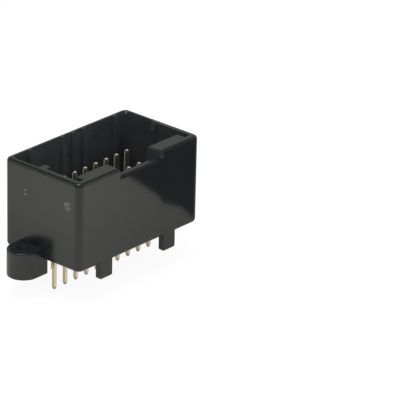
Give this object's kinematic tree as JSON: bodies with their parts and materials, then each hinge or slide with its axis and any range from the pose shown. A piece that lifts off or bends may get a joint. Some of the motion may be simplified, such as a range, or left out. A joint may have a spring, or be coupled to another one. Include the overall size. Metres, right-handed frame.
{
  "type": "shrouded board header",
  "caption": "Locking box header for a circuit board: a black moulded shroud with latch notch, key rib, feet and screw ears round rows of square contact posts.",
  "frame": {"origin": "centre of the contact field, on the board's upper face, which the ears and feet stand on", "axes": "+X along the contact rows, +Y from the notched latch wall to the plain back wall, +Z away from the board, the way the mating plug leaves"},
  "size_m": [0.0376, 0.0168, 0.0218],
  "materials": {
    "housing_plastic": "black glass-filled moulding with a soft sheen",
    "contact_metal": "bright plating over brass, gold-brown on the drawn faces"
  },
  "bodies": {
    "root": {"housing": "housing_plastic", "contact_front_01": "contact_metal", "contact_front_02": "contact_metal", "contact_front_03": "contact_metal", "contact_front_04": "contact_metal", "contact_front_05": "contact_metal", "contact_front_06": "contact_metal", "contact_front_07": "contact_metal", "contact_front_08": "contact_metal", "contact_front_09": "contact_metal", "contact_front_10": "contact_metal", "contact_back_01": "contact_metal", "contact_back_02": "contact_metal", "contact_back_03": "contact_metal", "contact_back_04": "contact_metal", "contact_back_05": "contact_metal", "contact_back_06": "contact_metal", "contact_back_07": "contact_metal", "contact_back_08": "contact_metal", "contact_back_09": "contact_metal", "contact_back_10": "contact_metal"}
  },
  "joints": []
}
